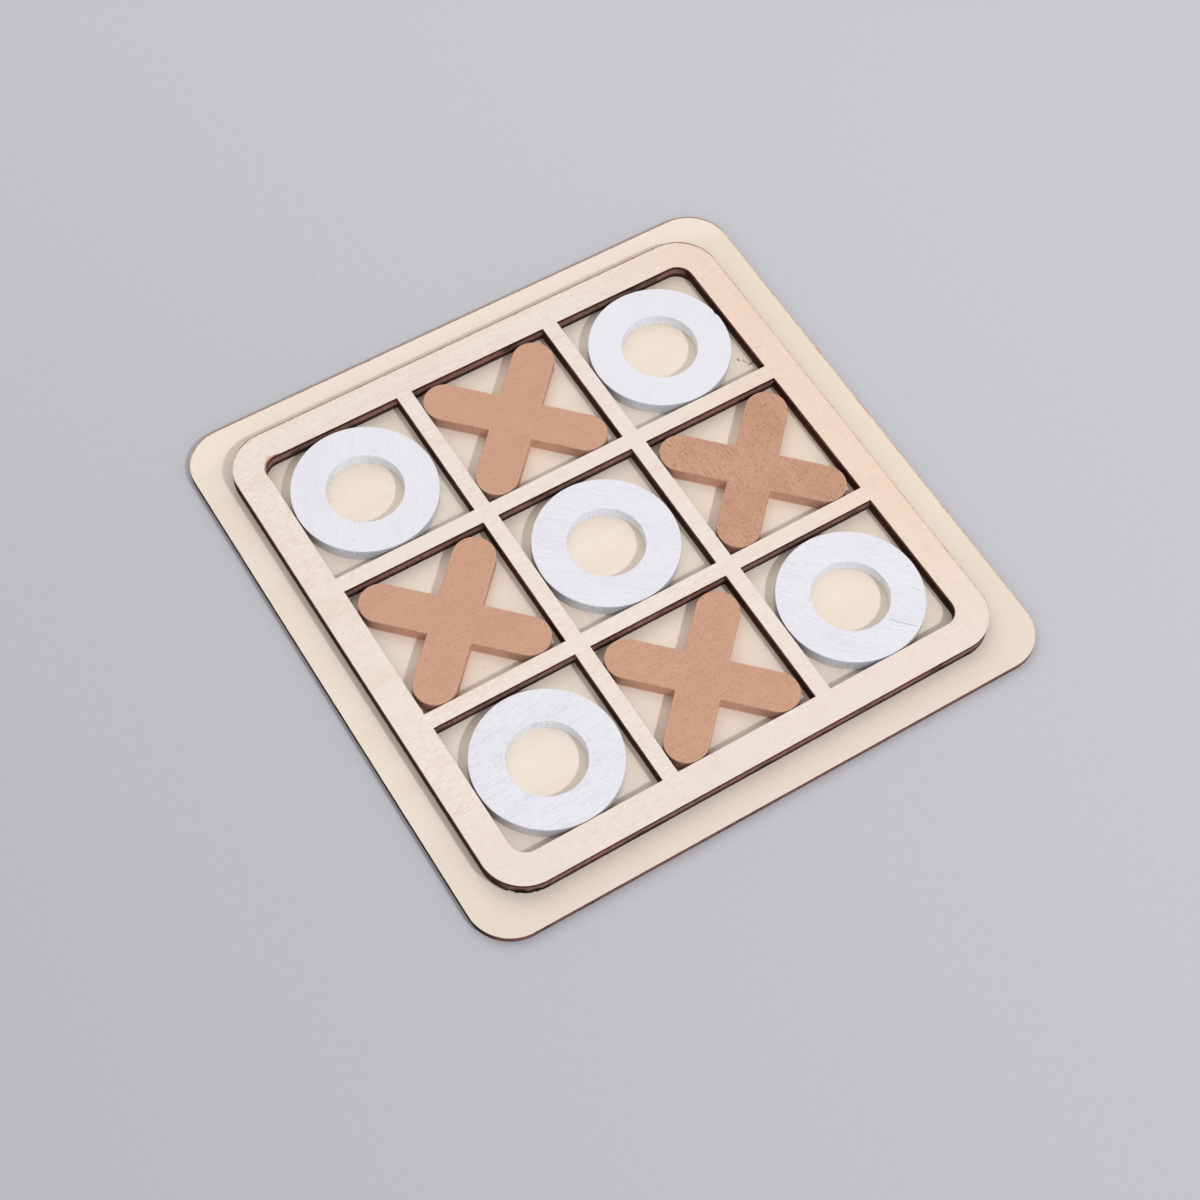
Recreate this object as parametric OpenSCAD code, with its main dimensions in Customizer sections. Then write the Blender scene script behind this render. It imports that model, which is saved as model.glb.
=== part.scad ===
// Tic tac toe set: a plywood base board, a one-piece plywood grid glued on it, five rings and four crosses.
// Millimetres, +Z up. The origin is the middle of the base board's underside. +X is right and +Y is back.

/* [Base board] */
// Thickness of the plywood sheet that the base board is cut from
base_t = 2; // [1.5:0.5:6]
// Width of base board that shows all round the grid
margin_w = 8; // [2:0.5:30]

/* [Grid frame] */
// Thickness of the plywood sheet that the grid is cut from
grid_t = 4; // [3:0.5:10]
// Side of one square cell
cell_w = 37; // [30:0.5:80]
// Width of the bars between the cells
bar_w = 4; // [2:0.5:10]
// Width of the border round the nine cells
border_w = 7.5; // [4:0.5:20]
// Radius of the outer corners of the base board and of the grid
corner_r = 10.5; // [5:0.5:20]
// Radius of the outermost corner of each corner cell
window_r = 4.2; // [0.5:0.1:8]

/* [Glue joint] */
// How far right of the base board's middle the grid is glued
grid_shift_x = -0.5; // [-1:0.1:1]
// How far back of the base board's middle the grid is glued
grid_shift_y = -0.3; // [-1:0.1:1]
// Angle by which the grid is glued out of square, anticlockwise
grid_turn = 0.2; // [-0.5:0.1:0.5]

/* [Playing pieces] */
// Thickness of the rings and crosses
piece_t = 3.5; // [3:0.1:8]
// Play between a piece and its cell on every side, when the piece is centred
play = 0.9; // [0.9:0.1:2]
// Width of a ring's band, from its hole to its rim
ring_band = 8.3; // [4:0.1:12]
// Width of a cross's arms, which is also the diameter of their round ends
arm_w = 10.4; // [4:0.1:12]
// Radius to which the edges of the pieces are sanded
edge_r = 0.2; // [0.1:0.1:1]

/* [Hidden] */
$fn = 96;

// Gap under a piece, which lies on the unevenness of two wooden faces
rest_gap = 0.05;
// How far a cutting shape runs past the faces that it cuts
over = 1;

pitch = cell_w + bar_w;
field_w = 3 * cell_w + 2 * bar_w;
grid_w = field_w + 2 * border_w;
base_w = grid_w + 2 * margin_w;
piece_w = cell_w - 2 * play;
ring_mid_r = (piece_w - ring_band) / 2;
// Distance from a cross's middle to the centre of each arm's round end
arm_reach = (piece_w - arm_w) / 2 * sqrt(2);

// The playing pieces, each with its cell's column and row counted from the middle cell, and how it lies there:
// [node, column, row, shift to the right, shift to the back, turn anticlockwise in degrees]
RINGS = [
    ["ring_back_left", -1, 1, -0.5, 0, 0],
    ["ring_back_right", 1, 1, -0.3, -0.2, 0],
    ["ring_centre", 0, 0, -0.4, -0.5, 0],
    ["ring_front_left", -1, -1, -0.5, -0.6, 0],
    ["ring_front_right", 1, -1, -0.4, -0.6, 0],
];
CROSSES = [
    ["cross_back", 0, 1, -0.6, -0.4, 0],
    ["cross_left", -1, 0, -0.2, -0.5, 0.2],
    ["cross_right", 1, 0, -0.4, -0.6, 0.3],
    ["cross_front", 0, -1, -0.4, -0.6, 0.2],
];

// A square of side w, centred, with its corners rounded to radius r
module rounded_square(w, r) {
    square([w, w - 2 * r], center = true);
    square([w - 2 * r, w], center = true);
    for (x = [-1, 1], y = [-1, 1]) {
        translate([x * (w / 2 - r), y * (w / 2 - r)]) circle(r);
    }
}

// The section of a sanded strip of wood, w wide and piece_t thick, standing on the first axis
module strip_section(w) {
    translate([0, piece_t / 2]) {
        square([w, piece_t - 2 * edge_r], center = true);
        square([w - 2 * edge_r, piece_t], center = true);
        for (x = [-1, 1], y = [-1, 1]) {
            translate([x * (w / 2 - edge_r), y * (piece_t / 2 - edge_r)]) circle(edge_r, $fn = 32);
        }
    }
}

// Moves its children from the base board's frame to the glued grid's
module in_grid() {
    translate([grid_shift_x, grid_shift_y, base_t]) rotate(grid_turn) children();
}

// Lays its children in a piece's cell
module in_cell(piece) {
    in_grid()
        translate([piece[1] * pitch + piece[3], piece[2] * pitch + piece[4], rest_gap])
        rotate(piece[5])
        children();
}

// The nine cell openings, as one flat shape
module windows() {
    intersection() {
        rounded_square(field_w, window_r);
        for (column = [-1:1], row = [-1:1]) {
            translate([column * pitch, row * pitch]) square(cell_w, center = true);
        }
    }
}

module base_board() {
    color([0.90, 0.84, 0.77])
        linear_extrude(base_t)
        rounded_square(base_w, corner_r);
}

module grid_frame() {
    color([0.93, 0.86, 0.81])
        in_grid()
        linear_extrude(grid_t)
        difference() {
            rounded_square(grid_w, corner_r);
            windows();
        }
}

module ring(piece) {
    color([0.93, 0.92, 0.94])
        in_cell(piece)
        rotate_extrude()
        translate([ring_mid_r, 0])
        strip_section(ring_band);
}

// One of a cross's two arms, a straight strip with round ends, lying along X
module arm() {
    rotate([90, 0, 90])
        translate([0, 0, -arm_reach])
        linear_extrude(2 * arm_reach)
        strip_section(arm_w);
    for (side = [-1, 1]) {
        translate([side * arm_reach, 0, 0])
            rotate_extrude()
            intersection() {
                strip_section(arm_w);
                translate([0, -over]) square([arm_w, piece_t + 2 * over]);
            }
    }
}

module cross(piece) {
    color([0.80, 0.62, 0.50])
        in_cell(piece)
        for (angle = [45, 135]) rotate(angle) arm();
}

base_board();
grid_frame();
for (piece = RINGS) ring(piece);
for (piece = CROSSES) cross(piece);
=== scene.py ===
"""The looks of the tic tac toe set: laser-cut plywood board and grid, and painted wooden rings and crosses.

Lengths are in millimetres up to the point where a mesh is made, and in metres from there on.
"""

import math

import bmesh
import bpy
from mathutils import Euler, Matrix, Vector, noise


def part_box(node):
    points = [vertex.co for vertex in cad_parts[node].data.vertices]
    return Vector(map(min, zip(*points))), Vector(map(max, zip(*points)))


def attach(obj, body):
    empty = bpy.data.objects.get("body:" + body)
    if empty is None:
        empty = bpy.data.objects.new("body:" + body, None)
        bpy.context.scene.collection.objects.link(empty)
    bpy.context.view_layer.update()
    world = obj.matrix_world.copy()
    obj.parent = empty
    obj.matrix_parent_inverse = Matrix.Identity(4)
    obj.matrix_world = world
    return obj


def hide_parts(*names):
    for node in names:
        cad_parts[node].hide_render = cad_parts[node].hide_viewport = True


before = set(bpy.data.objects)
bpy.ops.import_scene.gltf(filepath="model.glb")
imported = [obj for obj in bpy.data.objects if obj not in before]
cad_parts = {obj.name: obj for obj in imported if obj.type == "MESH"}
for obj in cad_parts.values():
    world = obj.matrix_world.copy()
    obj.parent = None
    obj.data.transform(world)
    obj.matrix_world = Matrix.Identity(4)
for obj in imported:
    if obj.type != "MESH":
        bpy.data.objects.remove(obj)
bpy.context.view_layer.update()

MM = 0.001

# ---- Sizes of the set, as in the part's source ----
CELL_W = 37.0
BAR_W = 4.0
BORDER_W = 7.5
CORNER_R = 10.5
WINDOW_R = 4.2
GRID_TURN = 0.2
RING_BAND = 8.3
PIECE_W = 35.2
ARM_W = 10.4
EDGE_R = 0.2
PITCH = CELL_W + BAR_W
FIELD_W = 3 * CELL_W + 2 * BAR_W
GRID_W = FIELD_W + 2 * BORDER_W

# ---- Fineness of the meshes ----
OUTLINE_STEP = 0.8
ARC_STEP = 0.35
RING_SIDES = 256
EDGE_CUTS = 5

# Blender's vector noise would else take its offsets from the clock, and no two runs would be the same
NOISE_SEED = 7
noise.seed_set(NOISE_SEED)

# ---- Playing pieces ----
# grain is the grain's direction in degrees, and strength is how clearly it shows. The rings all have the same
# speckle. turn is how far a cross lies out of line with its cell, in degrees
RING_SPECKLE = 0.25
RINGS = {
    "ring_back_left": {"grain": 62, "strength": 0.55},
    "ring_back_right": {"grain": 38, "strength": 0.35},
    "ring_centre": {"grain": -42, "strength": 0.8},
    "ring_front_left": {"grain": 4, "strength": 1.0},
    "ring_front_right": {"grain": -46, "strength": 0.9},
}
CROSSES = {
    "cross_back": {"grain": -12, "strength": 0.7, "speckle": 0.7, "turn": 0.0},
    "cross_left": {"grain": -8, "strength": 0.8, "speckle": 1.1, "turn": 0.2},
    "cross_right": {"grain": 92, "strength": 2.0, "speckle": 1.0, "turn": 0.3},
    "cross_front": {"grain": 4, "strength": 1.0, "speckle": 1.2, "turn": 0.2},
}


# --------------------------------------------------------------------------------------------------
# Outlines: lists of 2D points in millimetres, with the wood on the left of the way round
# --------------------------------------------------------------------------------------------------
# The corners of a square as signs, anticlockwise from the lower right one
SQUARE = ((1, -1), (1, 1), (-1, 1), (-1, -1))


def straight(start, end):
    """Points from start up to, but without, end."""
    count = max(1, round((end - start).length / OUTLINE_STEP))
    return [start.lerp(end, i / count) for i in range(count)]


def arc(centre, radius, first, last):
    """Points round centre from angle first to angle last, in degrees, both ends included."""
    count = max(2, math.ceil(math.radians(abs(last - first)) * radius / ARC_STEP))
    angles = [math.radians(first + (last - first) * i / count) for i in range(count + 1)]
    return [centre + radius * Vector((math.cos(a), math.sin(a))) for a in angles]


def closed(corners):
    """One outline from its stretches in order: each is an arc's points, or a single sharp corner."""
    points = []
    for this, following in zip(corners, corners[1:] + corners[:1]):
        points += this[:-1] + straight(this[-1], following[0])
    return points


def rounded_square(centre, width, radii):
    """A square outline, in the order of SQUARE, with a radius for each corner. 0 is sharp."""
    corners = []
    for i, (sign, radius) in enumerate(zip(SQUARE, radii)):
        middle = centre + Vector(sign) * (width / 2 - radius)
        corners.append(arc(middle, radius, 90 * i - 90, 90 * i) if radius else [middle])
    return closed(corners)


def window(column, row):
    """One opening of the grid, clockwise. Only the grid's four outermost corners are rounded."""
    radii = [WINDOW_R if sign == (column, row) else 0 for sign in SQUARE]
    return rounded_square(Vector((column, row)) * PITCH, CELL_W, radii)[::-1]


def cross_outline():
    """Two arms with round ends, at right angles, along the diagonals."""
    half = ARM_W / 2
    reach = (PIECE_W - ARM_W) / 2 * math.sqrt(2)
    corners = []
    for angle in (45, 135, 225, 315):
        along = Vector((math.cos(math.radians(angle)), math.sin(math.radians(angle))))
        corners.append([half * (along - along.orthogonal())])
        corners.append(arc(along * reach, half, angle - 90, angle + 90))
    return closed(corners)


def placed(outline, centre, turn):
    spin = Matrix.Rotation(math.radians(turn), 2)
    return [spin @ point + centre for point in outline]


def outward_ways(outline):
    """For each point, the way out of the wood, long enough that a mitred corner keeps its width."""
    ways = []
    for before, point, after in zip(outline[-1:] + outline[:-1], outline, outline[1:] + outline[:1]):
        a = (point - before).normalized()
        b = (after - point).normalized()
        right_a, right_b = Vector((a.y, -a.x)), Vector((b.y, -b.x))
        ways.append((right_a + right_b) / (1 + right_a.dot(right_b)))
    return ways


# --------------------------------------------------------------------------------------------------
# Meshes
# --------------------------------------------------------------------------------------------------
def heights(node):
    low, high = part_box(node)
    return low.z / MM, high.z / MM


def middle(node):
    low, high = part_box(node)
    return ((low + high) / 2 / MM).to_2d()


def finish_mesh(name, bm, materials, body, node):
    """Turns bm, in millimetres, into the piece that stands for a CAD node."""
    bmesh.ops.recalc_face_normals(bm, faces=bm.faces)
    bmesh.ops.scale(bm, vec=(MM, MM, MM), verts=bm.verts)
    mesh = bpy.data.meshes.new(name)
    for face in bm.faces:
        face.smooth = True
    bm.to_mesh(mesh)
    bm.free()
    for material in materials:
        mesh.materials.append(material)
    piece = bpy.data.objects.new(name, mesh)
    bpy.context.scene.collection.objects.link(piece)
    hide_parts(node)
    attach(piece, body)
    return piece


def bridge(bm, lower, upper, slot):
    """A band of quads between two rings of vertices."""
    for i in range(len(lower)):
        j = (i + 1) % len(lower)
        bm.faces.new((lower[i], lower[j], upper[j], upper[i])).material_index = slot


def cap(bm, rings, slot):
    """A flat face between an outer ring and any rings inside it."""
    edges = [bm.edges.get((a, b)) for ring in rings for a, b in zip(ring, ring[1:] + ring[:1])]
    made = bmesh.ops.triangle_fill(bm, use_beauty=True, use_dissolve=False, edges=edges)
    for face in made["geom"]:
        if isinstance(face, bmesh.types.BMFace):
            face.material_index = slot


# Points nearer to a wall than this follow its unevenness, whose waves are about as long as WOBBLE_CELL
WALL_ZONE = 0.3
WOBBLE_CELL = 1.1


def level_ring(bm, outline, ways, level, wobble, strengths):
    """One level's ring of vertices. strengths scales the level's rim value from point to point."""
    distance, height, rim, _ = level
    rim_layer = bm.verts.layers.float["rim"]
    ring = []
    for point, way, strength in zip(outline, ways, strengths):
        place = Vector((*(point - way * distance), height))
        if distance < WALL_ZONE:
            shift = noise.noise_vector(place / WOBBLE_CELL) * wobble
            place += Vector((shift.x, shift.y, 0))
        vertex = bm.verts.new(place)
        vertex[rim_layer] = rim * strength
        ring.append(vertex)
    return ring


def prism(outlines, levels, wobble, browning=lambda point, way, index: 1):
    """A solid between outlines, as rings of vertices at each level from the bottom to the top.

    A level is (inset, height, rim, material slot of the band above it). rim becomes a vertex value, 1 at an
    edge, times browning(point, way out, outline's number). wobble moves the wall's points sideways.
    """
    bm = bmesh.new()
    bm.verts.layers.float.new("rim")
    lowest, highest = [], []
    for index, outline in enumerate(outlines):
        ways = outward_ways(outline)
        strengths = [browning(point, way, index) for point, way in zip(outline, ways)]
        rings = [level_ring(bm, outline, ways, level, wobble, strengths) for level in levels]
        for a, b in zip(rings[0], rings[0][1:] + rings[0][:1]):
            bm.edges.new((a, b))
        for lower, upper, level in zip(rings, rings[1:], levels):
            bridge(bm, lower, upper, level[3])
        lowest.append(rings[0])
        highest.append(rings[-1])
    cap(bm, lowest, levels[0][3])
    cap(bm, highest, levels[-1][3])
    return bm


# A sheet's material slots
FACE, EDGE = range(2)
# Share of a sheet's thickness that each of its two outer plies takes
PLY_SHARE = 0.29
# Depth and half width of the groove that the laser leaves along each glue line
GROOVE_DEPTH = 0.05
GROOVE_HALF = 0.08
# How far the core is burnt back behind the outer plies
CORE_SINK = 0.03
# Size of the bevel that is burnt off a sheet's lower edge
FOOT = 0.14
# Width of a sheet's broken arris, and how far in from it a face can be browned
ARRIS = 0.06
SCORCH_W = 1.3
# How far the cut walls waver
SHEET_WOBBLE = 0.04


def sheet_levels(bottom, top):
    """Levels of a laser-cut three-ply sheet, from its lower face round its edge to its upper face."""
    low_glue = bottom + (top - bottom) * PLY_SHARE
    high_glue = top - (top - bottom) * PLY_SHARE
    return [
        (SCORCH_W, bottom, 0, FACE),
        (SCORCH_W / 3, bottom, 0.5, FACE),
        (FOOT, bottom, 1, EDGE),
        (0, bottom + FOOT, 1, EDGE),
        (0, low_glue - GROOVE_HALF, 1, EDGE),
        (GROOVE_DEPTH, low_glue, 1, EDGE),
        (CORE_SINK, low_glue + GROOVE_HALF, 1, EDGE),
        (CORE_SINK, (low_glue + high_glue) / 2, 1, EDGE),
        (CORE_SINK, high_glue - GROOVE_HALF, 1, EDGE),
        (GROOVE_DEPTH, high_glue, 1, EDGE),
        (0, high_glue + GROOVE_HALF, 1, EDGE),
        (0, top - ARRIS, 1, FACE),
        (ARRIS * 0.3, top - ARRIS * 0.3, 1, FACE),
        (ARRIS, top, 1, FACE),
        (SCORCH_W / 6, top, 0.85, FACE),
        (SCORCH_W / 3, top, 0.4, FACE),
        (SCORCH_W, top, 0, FACE),
    ]


# How much the laser browned the faces beside the cuts: little in general, more along the far sides
BROWN_GENERAL = 0.1
BROWN_BACK = 0.9
BROWN_RIGHT = 0.6


def outer_browning(way):
    return BROWN_GENERAL + BROWN_BACK * max(0, way.y) + BROWN_RIGHT * max(0, way.x)


def base_board(materials):
    low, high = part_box("base_board")
    width = (high.x - low.x) / MM
    outline = rounded_square(middle("base_board"), width, [CORNER_R] * 4)
    levels = sheet_levels(*heights("base_board"))
    bm = prism([outline], levels, SHEET_WOBBLE, lambda point, way, index: outer_browning(way))
    return finish_mesh("base_board_plywood", bm, materials, "board", "base_board")


# The scorched patch at the outer corner of the back left window, from the grid's middle
SCORCH_PLACE = Vector((-1, 1)) * (FIELD_W / 2 - 1)
SCORCH_REACH = 6.0
SCORCH_HEAT = 1.6

# The burnt chips along the foot of the grid's front left corner: which stretch of the corner in degrees, how
# high and how deep
CHIP_ANGLES = (222, 262)
CHIP_TOP = 1.5
CHIP_DEPTH = 0.45
# Size of one splinter, and what is added to the noise so that more than half of the stretch is broken
CHIP_SIZE = 0.9
CHIP_MORE = 0.25


def chip_corner(bm, corner, bottom):
    """Breaks splinters out of the foot of the rounded corner whose middle is given."""
    for vertex in bm.verts:
        out = vertex.co.to_2d() - corner
        angle = math.degrees(math.atan2(out.y, out.x)) % 360
        low = 1 - (vertex.co.z - bottom) / CHIP_TOP
        on_wall = abs(out.length - CORNER_R) < WALL_ZONE
        if on_wall and low > 0 and CHIP_ANGLES[0] < angle < CHIP_ANGLES[1]:
            broken = max(0, noise.noise(vertex.co / CHIP_SIZE) + CHIP_MORE)
            inward = out.normalized() * CHIP_DEPTH * low * broken
            vertex.co -= Vector((*inward, 0))


def grid_frame(materials):
    centre = middle("grid_frame")
    bottom, top = heights("grid_frame")
    outlines = [rounded_square(Vector((0, 0)), GRID_W, [CORNER_R] * 4)]
    outlines += [window(column, row) for column in (-1, 0, 1) for row in (-1, 0, 1)]
    outlines = [placed(outline, centre, GRID_TURN) for outline in outlines]

    def browning(point, way, index):
        if index == 0:
            return outer_browning(way)
        near = 1 - (point - centre - SCORCH_PLACE).length / SCORCH_REACH
        return BROWN_GENERAL + SCORCH_HEAT * max(0, near)

    bm = prism(outlines, sheet_levels(bottom, top), SHEET_WOBBLE, browning)
    chip_corner(bm, centre - Vector((1, 1)) * (GRID_W / 2 - CORNER_R), bottom)
    return finish_mesh("grid_frame_plywood", bm, materials, "board", "grid_frame")


# Where a piece's wall has levels, as shares of its height, and how far in its flat faces have one more
WALL_SHARES = (0.15, 0.35, 0.5, 0.65, 0.85)
FLAT_INSET = 2.5 * EDGE_R


def sanded_levels(bottom, top):
    """Levels of a piece with its upper and lower edges sanded round. rim is 1 on the rounding."""
    turns = [math.pi / 2 * i / EDGE_CUTS for i in range(EDGE_CUTS + 1)]
    lower = [(EDGE_R * (1 - math.sin(a)), bottom + EDGE_R * (1 - math.cos(a)), 1, 0) for a in turns]
    upper = [(distance, top + bottom - height, rim, 0) for distance, height, rim, _ in reversed(lower)]
    lit_side = [(0, bottom + (top - bottom) * share, 0, 0) for share in WALL_SHARES]
    return [(FLAT_INSET, bottom, 0, 0)] + lower + lit_side + upper + [(FLAT_INSET, top, 0, 0)]


# How far the crosses' walls waver
CROSS_WOBBLE = 0.03


def cross(node, turn, material):
    outline = placed(cross_outline(), middle(node), turn + GRID_TURN)
    bm = prism([outline], sanded_levels(*heights(node)), CROSS_WOBBLE)
    return finish_mesh(node + "_wood", bm, [material], node, node)


# How deep the rubbed places in a ring's walls are, how many there are round the ring, and how much a ring's
# place is divided by, so that each ring is rubbed in other places
RUB_DEPTH = 0.05
RUBS = 4
RUB_SHIFT = 10
# Nicks in the rings' upper outer edges: angle in degrees, how far round they reach, and their depth
NICKS = {"ring_back_right": (6, 3.5, 0.35), "ring_front_left": (231, 2.0, 0.12)}


def nick_depth(node, angle, height, top):
    if node not in NICKS:
        return 0
    place, reach, depth = NICKS[node]
    across = 1 - abs(math.degrees(angle) - place) / reach
    down = 1 - (top - height) / (3 * depth)
    return depth * max(0, across) * max(0, down)


def ring(node, material):
    bottom, top = heights(node)
    centre = middle(node)
    outer = PIECE_W / 2
    hole = outer - RING_BAND
    levels = sanded_levels(bottom, top)
    profile = [(outer - distance, height, -1, rim) for distance, height, rim, _ in levels]
    profile += [(hole + distance, height, 1, rim) for distance, height, rim, _ in reversed(levels)]
    bm = bmesh.new()
    rim_layer = bm.verts.layers.float.new("rim")
    loops = []
    for radius, height, side, rim in profile:
        loop = []
        for i in range(RING_SIDES):
            angle = 2 * math.pi * i / RING_SIDES
            way = Vector((math.cos(angle), math.sin(angle), 0))
            place = Vector((*centre, height)) + way * radius
            rubbed = RUB_DEPTH * abs(noise.noise(way * RUBS + Vector((*centre, side)) / RUB_SHIFT))
            if side < 0:
                rubbed += nick_depth(node, angle, height, top)
            vertex = bm.verts.new(place + way * side * rubbed)
            vertex[rim_layer] = rim
            loop.append(vertex)
        loops.append(loop)
    for lower, upper in zip(loops, loops[1:] + loops[:1]):
        bridge(bm, lower, upper, 0)
    return finish_mesh(node + "_wood", bm, [material], node, node)


# --------------------------------------------------------------------------------------------------
# Materials
# --------------------------------------------------------------------------------------------------
class Shader:
    """A material's node tree, with one short call for each kind of node that is used here."""

    def __init__(self, name):
        self.material = bpy.data.materials.new(name)
        self.material.use_nodes = True
        self.tree = self.material.node_tree
        self.tree.nodes.clear()
        self.surface = self.node("ShaderNodeBsdfPrincipled")
        output = self.node("ShaderNodeOutputMaterial")
        self.tree.links.new(self.surface.outputs[0], output.inputs["Surface"])
        self.places = self.node("ShaderNodeTexCoord")

    def node(self, kind, **settings):
        made = self.tree.nodes.new(kind)
        for key, value in settings.items():
            setattr(made, key, value)
        return made

    def put(self, socket, value):
        """Links an output to a socket, or sets the socket to a plain value."""
        if isinstance(value, bpy.types.NodeSocket):
            self.tree.links.new(value, socket)
        else:
            socket.default_value = value

    def math(self, operation, *values):
        made = self.node("ShaderNodeMath", operation=operation)
        for socket, value in zip(made.inputs, values):
            self.put(socket, value)
        return made.outputs[0]

    def add(self, *values):
        total = values[0]
        for value in values[1:]:
            total = self.math("ADD", total, value)
        return total

    def times(self, *values):
        product = values[0]
        for value in values[1:]:
            product = self.math("MULTIPLY", product, value)
        return product

    def stretch(self, cell, turn=0.0, shift=(0.0, 0.0, 0.0)):
        """Coordinates whose unit is cell, in millimetres along each axis, after a turn about Z in degrees."""
        turned = self.node("ShaderNodeMapping", vector_type="POINT")
        self.put(turned.inputs["Vector"], self.places.outputs["Object"])
        self.put(turned.inputs["Rotation"], Euler((0, 0, -math.radians(turn))))
        scaled = self.node("ShaderNodeMapping", vector_type="POINT")
        self.put(scaled.inputs["Vector"], turned.outputs[0])
        self.put(scaled.inputs["Scale"], Vector([1 / (size * MM) for size in cell]))
        self.put(scaled.inputs["Location"], Vector(shift))
        return scaled.outputs[0]

    def noise(self, coordinates, detail=2.0, roughness=0.5, distortion=0.0):
        made = self.node("ShaderNodeTexNoise")
        self.put(made.inputs["Vector"], coordinates)
        self.put(made.inputs["Scale"], 1.0)
        self.put(made.inputs["Detail"], detail)
        self.put(made.inputs["Roughness"], roughness)
        self.put(made.inputs["Distortion"], distortion)
        return made.outputs["Fac"]

    def dots(self, coordinates, size):
        """1 in the middle of sparse round dots of the given radius, and 0 around them."""
        made = self.node("ShaderNodeTexVoronoi")
        self.put(made.inputs["Vector"], coordinates)
        self.put(made.inputs["Scale"], 1.0)
        return self.steps(made.outputs["Distance"], size, 0.0)

    def steps(self, value, start, end):
        """0 where value is at start and 1 where it is at end, with a soft change between them."""
        made = self.node("ShaderNodeMapRange", interpolation_type="SMOOTHSTEP")
        self.put(made.inputs["Value"], value)
        self.put(made.inputs["From Min"], min(start, end))
        self.put(made.inputs["From Max"], max(start, end))
        self.put(made.inputs["To Min"], 0.0 if start < end else 1.0)
        self.put(made.inputs["To Max"], 1.0 if start < end else 0.0)
        return made.outputs[0]

    def mix(self, share, first, second):
        made = self.node("ShaderNodeMix", data_type="RGBA")
        self.put(made.inputs["Factor"], share)
        self.put(made.inputs["A"], first if isinstance(first, bpy.types.NodeSocket) else (*first, 1))
        self.put(made.inputs["B"], second if isinstance(second, bpy.types.NodeSocket) else (*second, 1))
        return made.outputs["Result"]

    def rim(self):
        return self.node("ShaderNodeAttribute", attribute_name="rim").outputs["Fac"]

    def place(self, axis):
        """The place along one axis, in millimetres."""
        parts = self.node("ShaderNodeSeparateXYZ")
        self.put(parts.inputs[0], self.places.outputs["Object"])
        return self.math("DIVIDE", parts.outputs[axis], MM)

    def facing(self, axis, start, end):
        """0 to 1 as the surface turns towards an axis, either way along it."""
        parts = self.node("ShaderNodeSeparateXYZ")
        self.put(parts.inputs[0], self.places.outputs["Normal"])
        return self.steps(self.math("ABSOLUTE", parts.outputs[axis]), start, end)

    def away(self, spot):
        """Distance in millimetres from a spot, which is given in millimetres."""
        made = self.node("ShaderNodeVectorMath", operation="DISTANCE")
        self.put(made.inputs[0], self.places.outputs["Object"])
        self.put(made.inputs[1], Vector(spot) * MM)
        return self.math("DIVIDE", made.outputs["Value"], MM)

    def bump(self, height, depth, below=None):
        """A bump whose height of 1 stands depth millimetres proud, on top of the bump below it."""
        made = self.node("ShaderNodeBump")
        self.put(made.inputs["Height"], height)
        self.put(made.inputs["Distance"], depth * MM)
        self.put(made.inputs["Strength"], 1.0)
        if below:
            self.put(made.inputs["Normal"], below)
        return made.outputs[0]

    def finish(self, colour, roughness, normal, specular):
        self.put(self.surface.inputs["Base Color"], colour)
        self.put(self.surface.inputs["Roughness"], roughness)
        self.put(self.surface.inputs["Normal"], normal)
        self.put(self.surface.inputs["Specular IOR Level"], specular)
        return self.material


def srgb(red, green, blue):
    """A linear colour from screen values of 0 to 255."""
    return tuple(((v / 255 + 0.055) / 1.055) ** 2.4 for v in (red, green, blue))


# The faces of the two sheets. warm and blush are the tones of the bands, and right, front and back are the
# tones towards those sides: right is a warmer tone, front is painted shade and back is painted light
BASE_FACE = {
    "pale": srgb(243, 229, 215), "warm": srgb(241, 225, 209), "right": srgb(242, 225, 207),
    "front": srgb(233, 217, 204), "back": srgb(248, 232, 218), "blush": srgb(240, 221, 207), "grain": 0.25,
}
GRID_FACE = {
    "pale": srgb(241, 228, 219), "warm": srgb(243, 227, 217), "right": srgb(242, 215, 194),
    "front": srgb(237, 221, 212), "back": srgb(243, 227, 214), "blush": srgb(240, 214, 201), "grain": 1.0,
}
# Tone towards a side, along which axis, how uneven, and where it starts and is full, in millimetres
SIDE_TONES_AND_PAINTED_LIGHT = (("right", "X", 20, 35, 85), ("front", "Y", 8, -20, -75), ("back", "Y", 6, 66, 72))
DUSK = srgb(205, 184, 172)
BRIGHT = srgb(251, 243, 235)
FLECK = srgb(150, 104, 76)
TAN_HEAT = srgb(214, 152, 106)
BROWN_HEAT = srgb(120, 76, 50)
ORANGE_HEAT = srgb(222, 122, 52)


def sheet_tones(s, look, seed, blotches, mottle):
    """Slow changes of a face's tone: long soft bands, blotches, and the tones towards its sides, which paint
    shade towards the front and light towards the back.
    """
    bands = s.noise(s.stretch((60, 4.5, 4.5), GRID_TURN, (seed, 0, 0)), 3, 0.55, 0.15)
    warmth = s.add(s.times(blotches, 0.6), s.times(bands, 0.4))
    colour = s.mix(s.steps(warmth, 0.38, 0.62), look["pale"], look["warm"])
    blushing = s.times(s.steps(bands, 0.5, 0.6), s.steps(bands, 0.72, 0.6), 0.45)
    colour = s.mix(blushing, colour, look["blush"])
    # Painted shade darkens the faces towards the front, and painted light lightens them towards the back; the
    # right gets a warmer tone
    for side, axis, uneven, start, end in SIDE_TONES_AND_PAINTED_LIGHT:
        near = s.steps(s.add(s.place(axis), s.times(mottle, uneven)), start, end)
        colour = s.mix(near, colour, look[side])
    return colour


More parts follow.
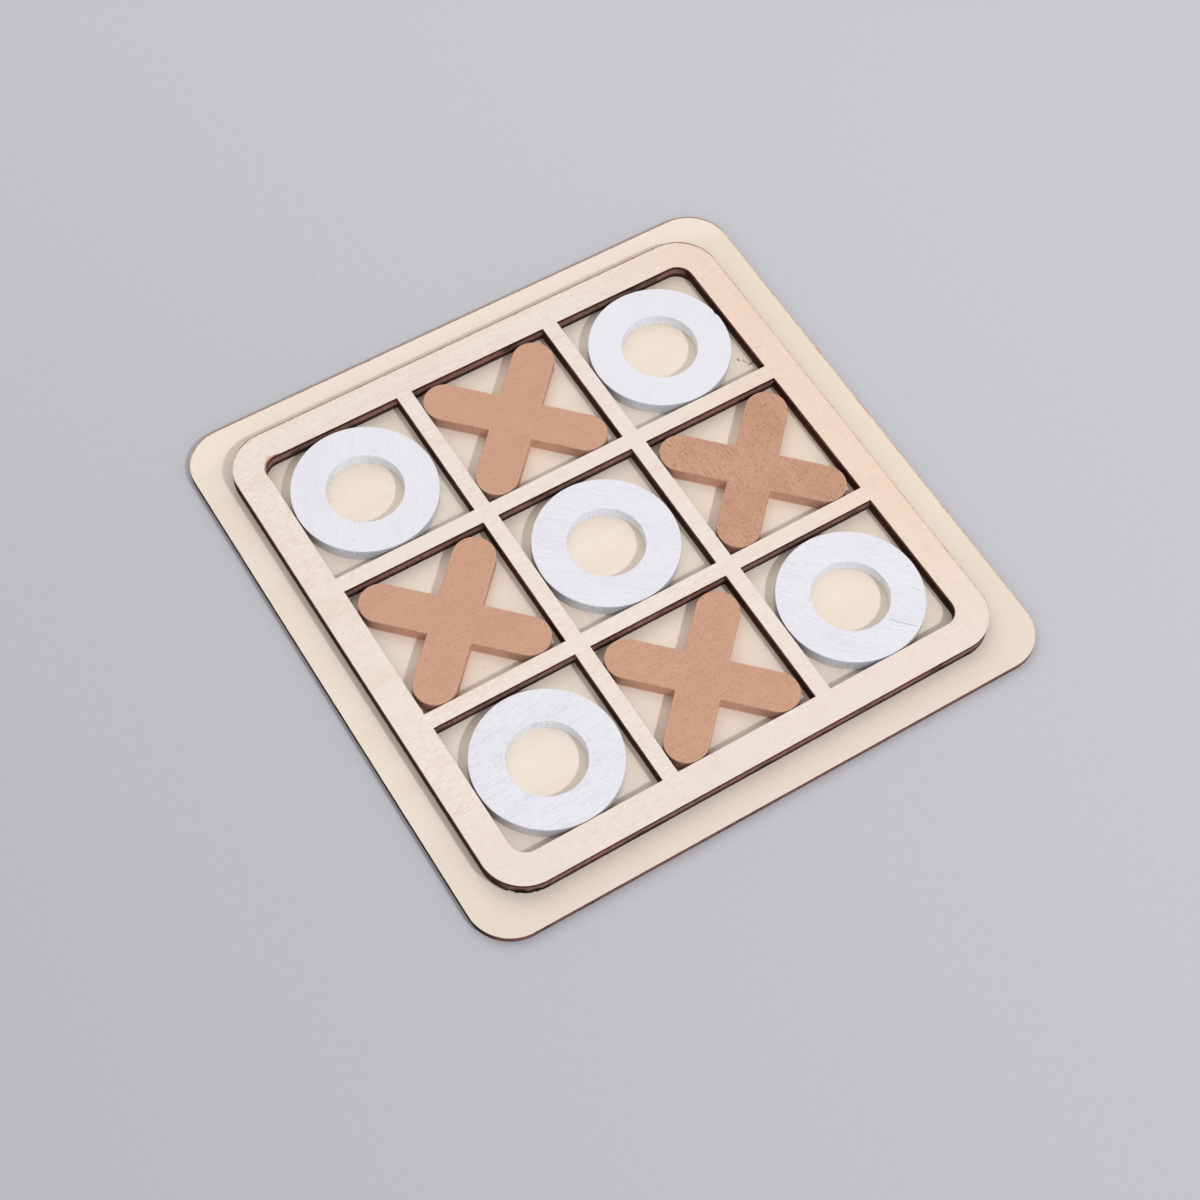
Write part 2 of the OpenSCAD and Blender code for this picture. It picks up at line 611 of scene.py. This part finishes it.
def browned(s, colour, seed):
    """Browns a face unevenly beside the cuts, as strongly as the vertices' rim value says."""
    ragged = s.noise(s.stretch((0.9, 0.9, 0.9), 0, (seed, 0, 7)), 4, 0.7)
    patches = s.noise(s.stretch((9, 9, 9), 0, (seed, 5, 0)), 2, 0.5)
    heat = s.add(s.rim(), s.times(s.add(ragged, -0.5), 0.7))
    colour = s.mix(s.times(s.steps(heat, 0.2, 0.8), 0.4), colour, TAN_HEAT)
    glow = s.times(s.steps(heat, 0.35, 0.6), s.steps(patches, 0.6, 0.7))
    colour = s.mix(s.times(glow, 0.6), colour, ORANGE_HEAT)
    return s.mix(s.times(s.steps(heat, 0.55, 0.9), 0.8), colour, BROWN_HEAT)


def veneer(name, look, seed, marks=()):
    """The pale face of a basswood sheet, with fine wisps, fibres and rays, livelier in places to the left."""
    s = Shader(name)
    grain = look["grain"]
    blotches = s.noise(s.stretch((38, 30, 30), 0, (0, seed, 0)), 2, 0.5)
    mottle = s.noise(s.stretch((5, 3, 3), 0, (0, 0, seed)), 3, 0.6, 0.8)
    wisps = s.noise(s.stretch((1.9, 0.4, 0.5), 8, (seed, seed, 0)), 4, 0.66, 0.6)
    fibres = s.noise(s.stretch((3.2, 0.2, 0.25), GRID_TURN, (seed, 3, 0)), 3, 0.6)
    rays = s.noise(s.stretch((1.2, 0.3, 0.6), -14, (3, seed, 0)), 3, 0.6)
    lively = s.add(0.35, s.times(s.steps(blotches, 0.35, 0.65), s.steps(s.place("X"), 90, -40)))

    colour = sheet_tones(s, look, seed, blotches, mottle)
    colour = s.mix(s.times(s.steps(mottle, 0.5, 0.7), 0.14 * grain), colour, DUSK)
    colour = s.mix(s.times(s.steps(fibres, 0.5, 0.7), 0.3 * grain), colour, DUSK)
    colour = s.mix(s.times(s.steps(wisps, 0.48, 0.3), lively, 0.38 * grain), colour, DUSK)
    colour = s.mix(s.times(s.steps(wisps, 0.52, 0.7), lively, 0.75 * grain), colour, BRIGHT)
    colour = s.mix(s.times(s.steps(rays, 0.56, 0.7), lively, 0.65 * grain), colour, BRIGHT)
    flecks = s.dots(s.stretch((17, 17, 17), 0, (seed, 0, 0)), 0.016)
    colour = s.mix(s.times(flecks, 0.5), colour, FLECK)
    colour = browned(s, colour, seed)
    for mark in marks:
        colour = mark(s, colour)

    rough = s.add(s.times(fibres, 0.14), 0.56)
    normal = s.bump(wisps, 0.035 * grain, s.bump(fibres, 0.02))
    return s.finish(colour, rough, normal, 0.3)


def speck(place, reach, tone, strength=0.8):
    """A small ragged spot."""
    def draw(s, colour):
        uneven = s.noise(s.stretch((reach, reach, reach)), 2, 0.6)
        near = s.steps(s.add(s.away(place), s.times(uneven, reach)), 1.5 * reach, 0.7 * reach)
        return s.mix(s.times(near, strength), colour, tone)
    return draw


def stroke(place, radius, tip, reach, line, tone):
    """A short curved pen or grain line: the part within reach of tip of a circle of radius round place."""
    def draw(s, colour):
        off_line = s.math("ABSOLUTE", s.add(s.away(place), -radius))
        drawn = s.times(s.steps(off_line, line, 0.3 * line), s.steps(s.away(tip), reach, 0.7 * reach))
        return s.mix(s.times(drawn, 0.75), colour, tone)
    return draw


# The burnt edges of the two sheets. A wall is "end" where it runs along X and the core's fibres end in it,
# and "side" where it runs along Y
# Painted shade: the base's side walls are darker than its end walls in all three plies, on top of the plies'
# own tones
BASE_EDGE_AND_PAINTED_SHADE = {
    "skin_end": srgb(134, 93, 79), "core_end": srgb(132, 94, 86), "foot_end": srgb(126, 91, 86),
    "skin_side": srgb(74, 54, 45), "core_side": srgb(62, 45, 38), "foot_side": srgb(76, 59, 53),
    "arris": srgb(150, 104, 80),
}
GRID_EDGE = {
    "skin_end": srgb(88, 48, 35), "core_end": srgb(149, 113, 106), "foot_end": srgb(66, 43, 38),
    "skin_side": srgb(124, 84, 70), "core_side": srgb(60, 31, 22), "foot_side": srgb(80, 52, 41),
    "arris": srgb(104, 48, 30),
}
SOOT = srgb(28, 15, 11)
ASH = srgb(176, 150, 144)


def ply_tones(s, look, share, end):
    """The three plies' burnt tones by the share of the sheet's height, on the walls of either direction."""
    skin = s.mix(end, look["skin_side"], look["skin_end"])
    core = s.mix(end, look["core_side"], look["core_end"])
    foot = s.mix(end, look["foot_side"], look["foot_end"])
    colour = s.mix(s.steps(share, 0.28, 0.42), foot, core)
    colour = s.mix(s.steps(share, 0.66, 0.8), colour, skin)
    return s.mix(s.times(s.steps(share, 0.88, 0.97), end), colour, look["arris"])


def burnt_edge(name, look, bottom, top, seed, soot_places=()):
    """A sheet's laser-burnt edge: three plies, fine upright cuts, ends of fibres, and patches of soot."""
    s = Shader(name)
    cuts = s.noise(s.stretch((0.22, 0.22, 2.5), 0, (seed, 0, 0)), 3, 0.6)
    ends = s.noise(s.stretch((0.42, 0.42, 0.34), 0, (0, seed, 0)), 3, 0.65, 0.6)
    patches = s.noise(s.stretch((7, 7, 2.5), 0, (0, 0, seed)), 3, 0.6)
    uneven = s.noise(s.stretch((9, 9, 9), 0, (seed, seed, 0)), 2, 0.5)

    share = s.math("DIVIDE", s.add(s.place("Z"), -bottom), top - bottom)
    share = s.add(share, s.times(s.add(uneven, -0.5), 0.12))
    end = s.facing("Y", 0.35, 0.85)
    colour = ply_tones(s, look, share, end)
    in_core = s.times(s.steps(share, 0.3, 0.42), s.steps(share, 0.8, 0.66))
    colour = s.mix(s.times(in_core, end, s.steps(ends, 0.52, 0.72), 0.6), colour, ASH)
    colour = s.mix(s.times(in_core, s.steps(ends, 0.48, 0.3), 0.7), colour, SOOT)
    colour = s.mix(s.times(s.steps(cuts, 0.5, 0.3), 0.55), colour, SOOT)
    colour = s.mix(s.times(s.steps(cuts, 0.56, 0.75), end, 0.22), colour, ASH)
    colour = s.mix(s.times(s.steps(patches, 0.52, 0.7), 0.7), colour, SOOT)
    for place, reach in soot_places:
        near = s.steps(s.add(s.away(place), s.times(ends, 0.5 * reach)), reach, 0.6 * reach)
        colour = s.mix(s.times(near, 0.92), colour, SOOT)

    rough = s.add(s.times(cuts, 0.2), 0.7)
    normal = s.bump(ends, 0.03, s.bump(cuts, 0.04))
    return s.finish(colour, rough, normal, 0.08)


# The two paints. groove and pore are the tones of the grain's lines and pores, and dark that of the saw's
# lines on the pieces' sides. The sides' own tone is lighter than the faces', which is painted light, and rim
# is a lighter tone for a painted highlight along the rounded edges, also used for light specks and streaks
WHITE_PAINT = {
    "paint": srgb(237, 236, 243), "groove": srgb(212, 213, 223), "pore": srgb(186, 187, 198),
    "lit_side": srgb(235, 241, 251), "dark": srgb(158, 162, 172), "rim": srgb(244, 244, 249),
}
TAN_PAINT = {
    "paint": srgb(209, 161, 134), "groove": srgb(190, 140, 112), "pore": srgb(160, 108, 84),
    "lit_side": srgb(217, 167, 143), "dark": srgb(140, 92, 72), "rim": srgb(222, 182, 158),
}


def sawn_walls(s, colour, paint, walls, hatch, seed):
    """The paint on a piece's sides: a lighter tone as painted light, patchily hatched with fine upright lines
    by the saw.
    """
    patches = s.noise(s.stretch((6, 6, 6), 0, (seed, 3, 0)), 2, 0.5)
    lined = s.times(walls, s.steps(patches, 0.25, 0.6))
    # Painted light: the sides get a lighter tone than the upper and lower faces
    colour = s.mix(walls, colour, paint["lit_side"])
    colour = s.mix(s.times(lined, s.steps(hatch, 0.46, 0.66), 0.4), colour, paint["dark"])
    return s.mix(s.times(walls, s.steps(hatch, 0.5, 0.3), 0.35), colour, paint["rim"])


def painted_wood(name, paint, look, speckle, seed, marks=()):
    """Thin matt paint over solid wood, with the grain's fine lines and short pores showing through."""
    s = Shader(name)
    turn, strength = look["grain"], look["strength"]
    walls = s.facing("Z", 0.75, 0.25)
    flats = s.math("SUBTRACT", 1.0, walls)
    lines = s.noise(s.stretch((8, 0.34, 6), turn, (seed, 0, 0)), 4, 0.62, 0.35)
    pores = s.noise(s.stretch((1.3, 0.2, 0.8), turn, (0, seed, 0)), 2, 0.5)
    clouds = s.noise(s.stretch((14, 8, 8), turn, (0, 0, seed)), 2, 0.5)
    specks = s.noise(s.stretch((0.5, 0.5, 0.5), 0, (seed, 0, 5)), 3, 0.65, 0.5)
    hatch = s.noise(s.stretch((0.17, 0.17, 3.0), 0, (seed, seed, 0)), 3, 0.68)

    hazy = s.times(s.steps(clouds, 0.35, 0.75), 0.25 * strength)
    colour = s.mix(hazy, paint["paint"], paint["groove"])
    colour = s.mix(s.times(s.steps(lines, 0.5, 0.7), 0.75 * strength), colour, paint["groove"])
    colour = s.mix(s.times(s.steps(pores, 0.6, 0.74), 0.6 * strength), colour, paint["pore"])
    colour = s.mix(s.times(s.steps(specks, 0.5, 0.3), 0.45 * speckle), colour, paint["groove"])
    colour = s.mix(s.times(s.steps(specks, 0.55, 0.75), 0.6 * speckle), colour, paint["rim"])
    colour = sawn_walls(s, colour, paint, walls, hatch, seed)
    # Painted highlight: the rounded edges are lightened in patches
    highlight_patches = s.steps(clouds, 0.4, 0.6)
    colour = s.mix(s.times(s.rim(), highlight_patches, 0.35), colour, paint["rim"])
    for mark in marks:
        colour = mark(s, colour)

    rough = s.add(s.times(lines, 0.12), 0.48)
    grain = s.add(lines, s.times(s.steps(pores, 0.55, 0.72), -0.5))
    normal = s.bump(s.times(grain, flats), 0.01 + 0.06 * strength)
    normal = s.bump(specks, 0.06 * speckle + 0.004, normal)
    normal = s.bump(s.times(hatch, walls), 0.06, normal)
    return s.finish(colour, rough, normal, 0.4)


# --------------------------------------------------------------------------------------------------
# Stage, light and camera, in metres
# --------------------------------------------------------------------------------------------------
FLOOR_SIDE = 6.0
# Gap between the floor and the set's underside, so that the two faces don't flicker
FLOOR_DROP = 0.00002
FLOOR_SHADED = srgb(188, 188, 195)
FLOOR_LIT = srgb(206, 205, 210)
# Painted light on the floor: its tone lightens slowly over this many millimetres, towards the back right
FLOOR_FADE = 310


def floor():
    mesh = bpy.data.meshes.new("floor")
    half = FLOOR_SIDE / 2
    corners = [(x * half, y * half, -FLOOR_DROP) for x, y in ((-1, -1), (1, -1), (1, 1), (-1, 1))]
    mesh.from_pydata(corners, [], [(0, 1, 2, 3)])
    plane = bpy.data.objects.new("floor", mesh)
    bpy.context.scene.collection.objects.link(plane)
    s = Shader("floor")
    grain = s.noise(s.stretch((1.6, 1.6, 1.6)), 4, 0.7)
    along = s.add(s.place("X"), s.place("Y"), s.times(s.add(grain, -0.5), FLOOR_FADE))
    # Painted light: the floor is lighter towards the back right and darker towards the front left
    colour = s.mix(s.steps(along, -FLOOR_FADE, FLOOR_FADE), FLOOR_SHADED, FLOOR_LIT)
    mesh.materials.append(s.finish(colour, 0.8, s.bump(grain, 0.02), 0.2))


# What a white surface in the middle of the board shows. Each lamp gives its share of that light, and the
# world gives the rest
BRIGHTNESS = 1.095
LAMPS = {
    "key": {"place": (0.204, -0.608, 0.80), "size": 0.07, "share": 0.29, "colour": (0.935, 0.97, 1.0)},
    "back": {"place": (0.1, 0.7, 1.0), "size": 1.2, "share": 0.25, "colour": (0.98, 0.985, 1.0)},
    "fill": {"place": (-0.6, -0.8, 0.7), "size": 1.0, "share": 0.05, "colour": (1.0, 0.99, 0.98)},
}
WORLD_COLOUR = (1.0, 0.97, 0.925)


def area_light(name, place, size, share, colour):
    """A square lamp that faces the middle of the board and gives it a share of its light."""
    data = bpy.data.lights.new(name, "AREA")
    data.size = size
    distance = Vector(place).length
    slope = place[2] / distance
    data.energy = BRIGHTNESS * share * math.pi**2 * distance**2 / slope
    data.color = colour
    lamp = bpy.data.objects.new(name, data)
    lamp.location = place
    lamp.rotation_euler = Vector(place).to_track_quat("Z", "Y").to_euler()
    bpy.context.scene.collection.objects.link(lamp)


def light():
    for name, lamp in LAMPS.items():
        area_light(name, **lamp)
    world_share = 1 - sum(lamp["share"] for lamp in LAMPS.values())
    world = bpy.data.worlds.new("studio")
    bpy.context.scene.world = world
    world.use_nodes = True
    background = world.node_tree.nodes["Background"]
    background.inputs["Color"].default_value = (*WORLD_COLOUR, 1)
    background.inputs["Strength"].default_value = world_share * BRIGHTNESS


# Azimuth 0 looks along +Y, and the angles are in degrees. LENS and SENSOR are in millimetres
CAMERA_AIM = Vector((-0.00922, -0.01171, 0.002))
CAMERA_AZIMUTH = -35.18
CAMERA_ELEVATION = 59.46
CAMERA_ROLL = 4.13
CAMERA_DISTANCE = 0.571
LENS = 73.96
SENSOR = 36.0


def camera():
    data = bpy.data.cameras.new("camera")
    data.sensor_width = SENSOR
    data.lens = LENS
    data.clip_start = 0.01
    around, above = math.radians(CAMERA_AZIMUTH), math.radians(CAMERA_ELEVATION)
    level = Vector((math.sin(around), -math.cos(around), 0))
    back = level * math.cos(above) + Vector((0, 0, math.sin(above)))
    eye = bpy.data.objects.new("camera", data)
    roll = Matrix.Rotation(math.radians(CAMERA_ROLL), 3, "Z")
    looking = (-back).to_track_quat("-Z", "Y").to_matrix() @ roll
    eye.matrix_world = Matrix.Translation(CAMERA_AIM + back * CAMERA_DISTANCE) @ looking.to_4x4()
    bpy.context.scene.collection.objects.link(eye)
    bpy.context.scene.camera = eye


# --------------------------------------------------------------------------------------------------
# The set
# --------------------------------------------------------------------------------------------------
def on_piece(node, right, back):
    """A place on a piece's upper face, given from the piece's middle."""
    across = middle(node)
    return (across.x + right, across.y + back, heights(node)[1])


DARK_GRAIN = srgb(150, 150, 160)


def crack(node, centre, radius, tip, reach, line):
    """A dark line in a piece's upper face, placed like a stroke from the piece's middle."""
    return stroke(on_piece(node, *centre), radius, on_piece(node, *tip), reach, line, DARK_GRAIN)


BASE_TOP = heights("base_board")[1]
GRID_TOP = heights("grid_frame")[1]
GRID_CORNER = middle("grid_frame") - Vector((1, 1)) * (GRID_W / 2 - CORNER_R)
BROWN_PEN = srgb(156, 80, 58)
DARK_PEN = srgb(132, 54, 34)
RED_PEN = srgb(206, 116, 88)

base_marks = [
    speck((-41.4, -13.8, BASE_TOP), 0.2, srgb(120, 84, 64)),
    stroke((54.2, 29.3, BASE_TOP), 2.0, (56.2, 29.5, BASE_TOP), 0.55, 0.45, BROWN_PEN),
    speck((57.1, 28.6, BASE_TOP), 0.75, RED_PEN, 0.55),
    speck((57.4, 27.9, BASE_TOP), 0.35, BROWN_PEN, 0.7),
    stroke((58.0, 33.0, BASE_TOP), 6.0, (58.3, 27.0, BASE_TOP), 1.1, 0.34, DARK_PEN),
]
# The scorched window corner's orange smear
smear = middle("grid_frame") + SCORCH_PLACE + Vector((1.1, 0.9))
grid_marks = [speck((*smear, GRID_TOP), 1.3, srgb(228, 150, 104), 0.5)]
ring_marks = {
    "ring_front_right": [
        crack("ring_front_right", (28.7, 7.8), 30, (6.3, -12.1), 3.8, 0.13),
        crack("ring_front_right", (30.1, 5.8), 20, (14.1, -6.2), 1.1, 0.1),
        speck(on_piece("ring_front_right", -9.1, 4.0), 0.5, srgb(196, 190, 192), 0.6),
    ],
    "ring_back_left": [
        speck(on_piece("ring_back_left", -9.1, -11.3), 0.35, srgb(176, 168, 170), 0.7),
    ],
}
soot_places = [
    ((*(GRID_CORNER + Vector((-0.55, -0.84)) * CORNER_R), BASE_TOP + 0.8), 3.2),
    ((*(GRID_CORNER + Vector((-0.25, -0.97)) * CORNER_R), BASE_TOP + 0.6), 2.6),
]

# Each material has a seed of its own, so that no two have the same noise
SEED_STEP = 3
base_board([
    veneer("base_face", BASE_FACE, 1.0, base_marks),
    burnt_edge("base_edge", BASE_EDGE_AND_PAINTED_SHADE, *heights("base_board"), 2.0),
])
grid_frame([
    veneer("grid_face", GRID_FACE, 11.0, grid_marks),
    burnt_edge("grid_edge", GRID_EDGE, *heights("grid_frame"), 12.0, soot_places),
])
for number, (name, look) in enumerate(RINGS.items()):
    marks = ring_marks.get(name, ())
    seed = 20.0 + SEED_STEP * number
    ring(name, painted_wood(name + "_paint", WHITE_PAINT, look, RING_SPECKLE, seed, marks))
for number, (name, look) in enumerate(CROSSES.items()):
    seed = 50.0 + SEED_STEP * number
    cross(name, look["turn"], painted_wood(name + "_paint", TAN_PAINT, look, look["speckle"], seed))

floor()
light()
camera()
bpy.context.scene.view_settings.view_transform = "Standard"
